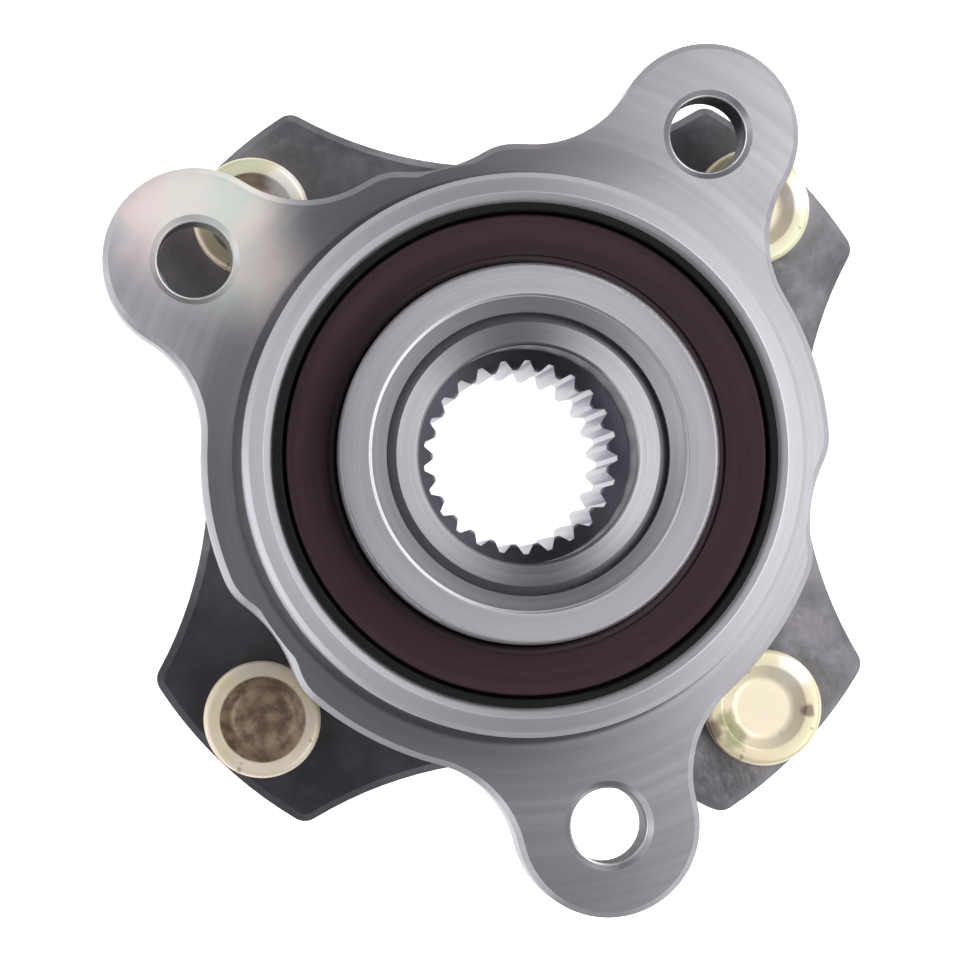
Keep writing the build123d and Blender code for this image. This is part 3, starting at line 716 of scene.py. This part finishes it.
def thread_depth(turns):
    """0 at the crest and 1 at the root of a 60 degree thread with small flats, by turns along the helix."""
    share = turns % 1.0
    flank = abs(share - 0.5) * 2
    return min(1.0, max(0.0, (1 - flank) * 1.3 - 0.12))


def ring_surface(rings, sides):
    """Vertices and faces of a closed surface through rings, each a function that gives a point by angle."""
    count = len(rings)
    vertices = [ring(2 * math.pi * k / sides) for ring in rings for k in range(sides)]
    faces = []
    for row in range(count - 1):
        first, second = row * sides, (row + 1) * sides
        for k in range(sides):
            after = (k + 1) % sides
            faces.append((first + k, first + after, second + after, second + k))
    faces.append(tuple(range(sides - 1, -1, -1)))
    faces.append(tuple((count - 1) * sides + k for k in range(sides)))
    return vertices, faces


def rounding(centre_r, centre_z, radius, first, last):
    """Plain rings along an arc in the section plane, by angle from the radial direction."""
    rings = []
    for step in range(FILLET_STEPS + 1):
        angle = math.radians(first + (last - first) * step / FILLET_STEPS)
        ring_r, ring_z = centre_r + radius * math.cos(angle), centre_z + radius * math.sin(angle)
        rings.append(lambda around, r=ring_r, z=ring_z: (r * math.cos(around), r * math.sin(around), z))
    return rings


def capped(ring, limit):
    """A ring whose points stay within a radius."""

    def point(angle):
        x, y, z = ring(angle)
        radius = math.hypot(x, y)
        share = min(1.0, limit / radius)
        return (x * share, y * share, z)

    return point


def stud_surface(top, tip):
    """Surface of a wheel stud on its own axis, z from the flange face, from its dished head to its point."""

    def plain(radius, z):
        return lambda angle: (radius * math.cos(angle), radius * math.sin(angle), z)

    def threaded(z):
        def point(angle):
            cut = thread_depth(z / STUD_THREAD_PITCH - angle / (2 * math.pi))
            radius = STUD_THREAD_R - (STUD_THREAD_R - STUD_THREAD_ROOT_R) * cut
            return (radius * math.cos(angle), radius * math.sin(angle), z)

        return point

    floor_z = top - STUD_DISH_DEPTH
    thread_start = -FLANGE_THICKNESS
    neck_start = thread_start + STUD_NECK_LENGTH
    point_z = tip + STUD_POINT_LENGTH
    rings = [plain(STUD_CAP_R, floor_z), plain(STUD_DISH_FLOOR_R, floor_z)]
    rings += rounding(STUD_DISH_FLOOR_R, floor_z + DISH_FLOOR_FILLET, DISH_FLOOR_FILLET, -90, -45)
    rings += rounding(STUD_DISH_R, top - DISH_RIM_FILLET, DISH_RIM_FILLET, 135, 90)
    rings += rounding(STUD_HEAD_R - STUD_HEAD_EDGE_R, top - STUD_HEAD_EDGE_R, STUD_HEAD_EDGE_R, 90, 0)
    rings += [plain(STUD_HEAD_R, 0.0), plain(STUD_KNURL_R, 0.0)]
    rings += [plain(STUD_KNURL_R, neck_start), plain(STUD_NECK_R, neck_start)]
    rings.append(plain(STUD_NECK_R, thread_start))
    steps = int((thread_start - point_z) / (STUD_THREAD_PITCH / STUD_RINGS_PER_PITCH))
    for i in range(steps + 1):
        z = thread_start + (point_z - thread_start) * i / steps
        lead_in = STUD_NECK_R + (thread_start - z)
        limit = min(lead_in, STUD_POINT_R + (z - point_z))
        rings.append(capped(threaded(z), limit))
    rings += [plain(STUD_POINT_R, point_z), plain(STUD_POINT_R, tip + STUD_TIP_CHAMFER)]
    rings += [plain(STUD_POINT_R - STUD_TIP_CHAMFER, tip), plain(STUD_CAP_R, tip)]
    return ring_surface(rings, STUD_SIDES)


def make_studs(materials):
    """The four wheel studs, each with a real thread and its own browns in the dish, partly soil and partly
    painted shade.
    """
    low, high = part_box("wheel_stud_1")
    vertices, faces = stud_surface(high.z - FLANGE_FACE_Z, low.z - FLANGE_FACE_Z)
    for number, material in enumerate(materials, start=1):
        name = f"wheel_stud_{number}"
        low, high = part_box(name)
        mesh = bpy.data.meshes.new(name + "_piece")
        mesh.from_pydata(vertices, [], faces)
        mesh.materials.append(material)
        mesh.shade_smooth()
        mesh.set_sharp_from_angle(angle=SHARP_ANGLE)
        piece = bpy.data.objects.new(name + "_piece", mesh)
        bpy.context.scene.collection.objects.link(piece)
        piece.location = ((low.x + high.x) / 2, (low.y + high.y) / 2, FLANGE_FACE_Z)
        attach(piece, "rotor")
        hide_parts(name)


# ---------------------------------------------------------------- scene

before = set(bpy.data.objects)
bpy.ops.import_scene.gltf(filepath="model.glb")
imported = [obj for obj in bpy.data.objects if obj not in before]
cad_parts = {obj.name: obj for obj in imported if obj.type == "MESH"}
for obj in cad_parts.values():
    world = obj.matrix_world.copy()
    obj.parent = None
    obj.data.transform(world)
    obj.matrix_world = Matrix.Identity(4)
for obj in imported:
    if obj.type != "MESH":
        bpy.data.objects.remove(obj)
cad_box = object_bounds()

assign(outer_ring_steel(), "outer_ring")
assign(hub_steel(), "hub")
assign(inner_ring_steel(), "inner_ring")
assign(encoder_rubber(), "encoder_ring")
assign(black_rubber(), "inboard_seal_lip", "outboard_seal_lip")
assign(sheet_steel(), "inboard_seal_case", "inboard_seal_slinger", "outboard_seal_core")
assign(cage_plastic(), "inboard_cage", "outboard_cage")
assign(ball_steel(), *[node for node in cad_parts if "_ball_" in node])
make_studs([yellow_zinc(*film) for film in STUD_FILMS])

make_floor(cad_box[0].z)
make_world(WORLD_ABOVE, WORLD_LEFT, WORLD_RIGHT)
for softbox in SOFTBOXES:
    make_softbox(*softbox)
make_camera()
bpy.context.scene.view_settings.view_transform = "Standard"
